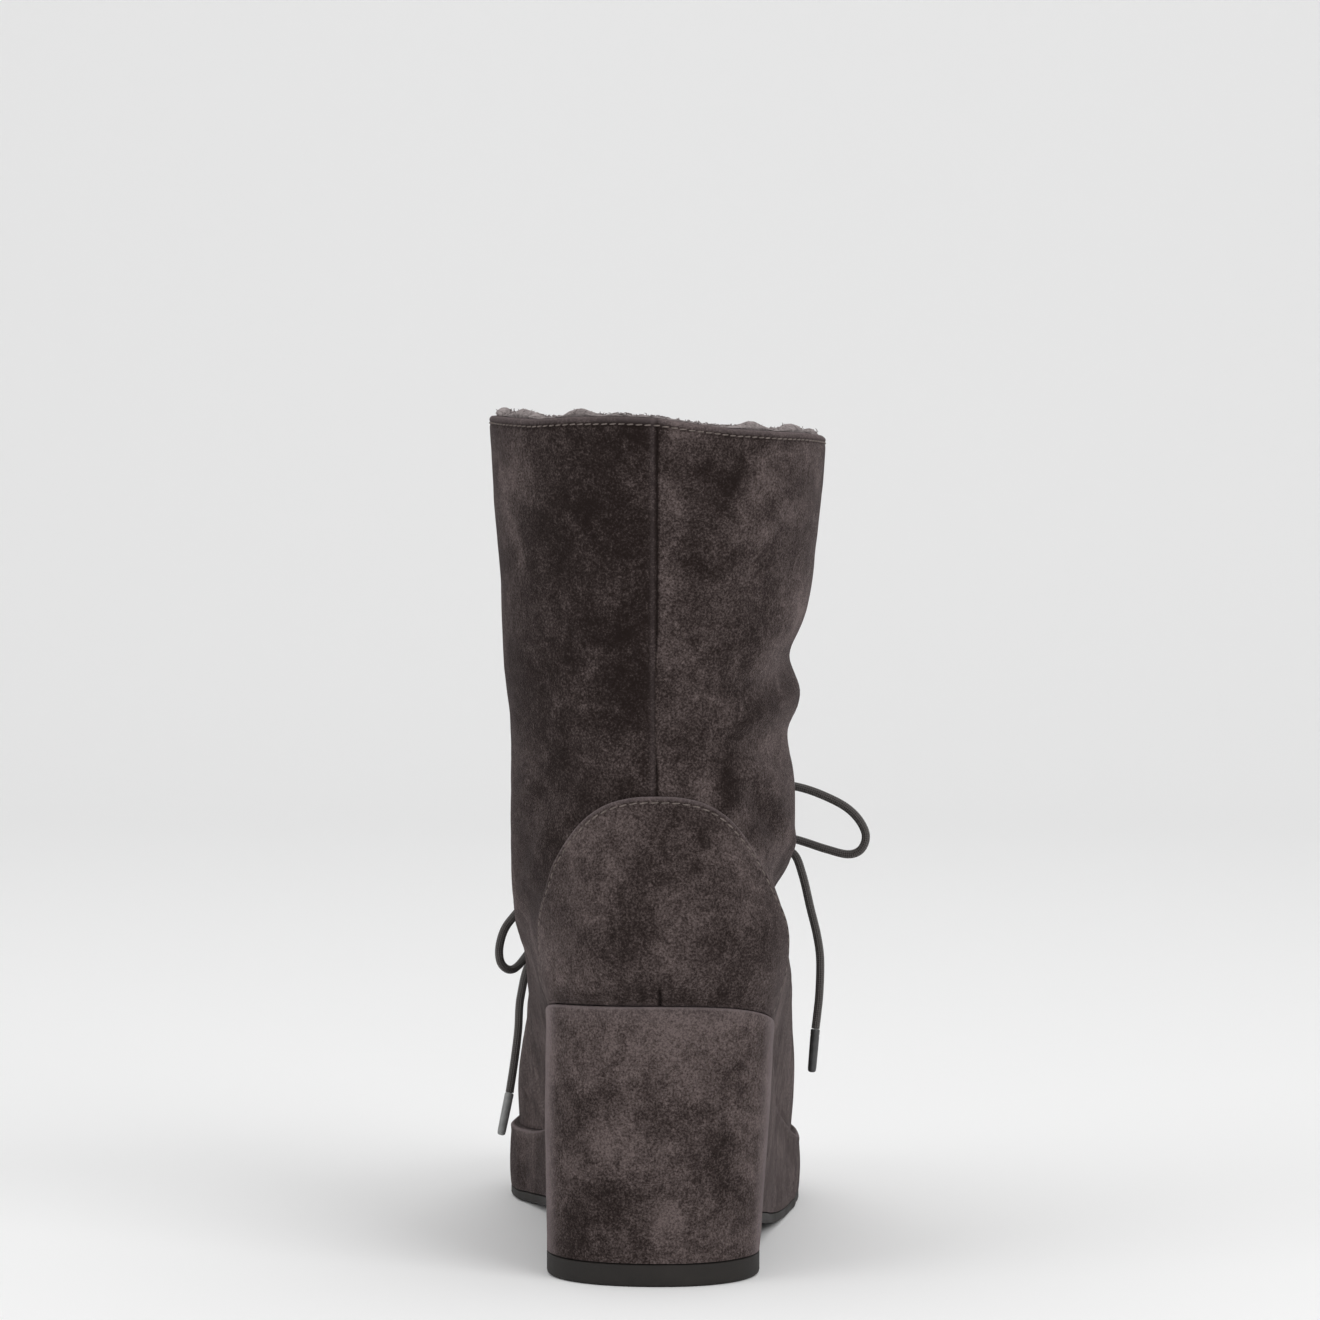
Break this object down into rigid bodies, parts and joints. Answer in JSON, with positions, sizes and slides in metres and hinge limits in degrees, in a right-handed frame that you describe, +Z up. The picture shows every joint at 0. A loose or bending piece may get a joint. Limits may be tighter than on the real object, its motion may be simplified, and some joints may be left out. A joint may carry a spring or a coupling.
{
  "type": "wedge boot",
  "caption": "Woman's mid-calf suede boot on a covered wedge and platform, fleece lined, with a heel counter and a thin lace tied in a bow at the instep.",
  "frame": {"origin": "on the floor, under the middle of the heel's flat underside", "axes": "+Y from heel to toe, +X to the outer (lateral) side of a right foot, +Z up"},
  "size_m": [0.1256, 0.2542, 0.2736],
  "materials": {
    "suede": "brushed nap",
    "rubber": "matte",
    "fleece": "wool pile",
    "gunmetal": "dark satin",
    "waxed_cord": "lightly waxed",
    "aglet": "satin"
  },
  "bodies": {
    "root": {"outsole": "rubber", "wedge": "suede", "insole": "fleece", "upper": "suede", "counter": "suede", "facing_medial": "suede", "facing_lateral": "suede", "tongue": "suede", "eyelet_medial_1": "gunmetal", "eyelet_lateral_1": "gunmetal", "eyelet_medial_2": "gunmetal", "eyelet_lateral_2": "gunmetal", "eyelet_medial_3": "gunmetal", "eyelet_lateral_3": "gunmetal", "lace_bars": "waxed_cord", "lace_knot": "waxed_cord", "lace_loop_lateral": "waxed_cord", "lace_loop_medial": "waxed_cord", "lace_end_lateral": "waxed_cord", "lace_end_medial": "waxed_cord", "aglet_lateral": "aglet", "aglet_medial": "aglet"}
  },
  "joints": []
}
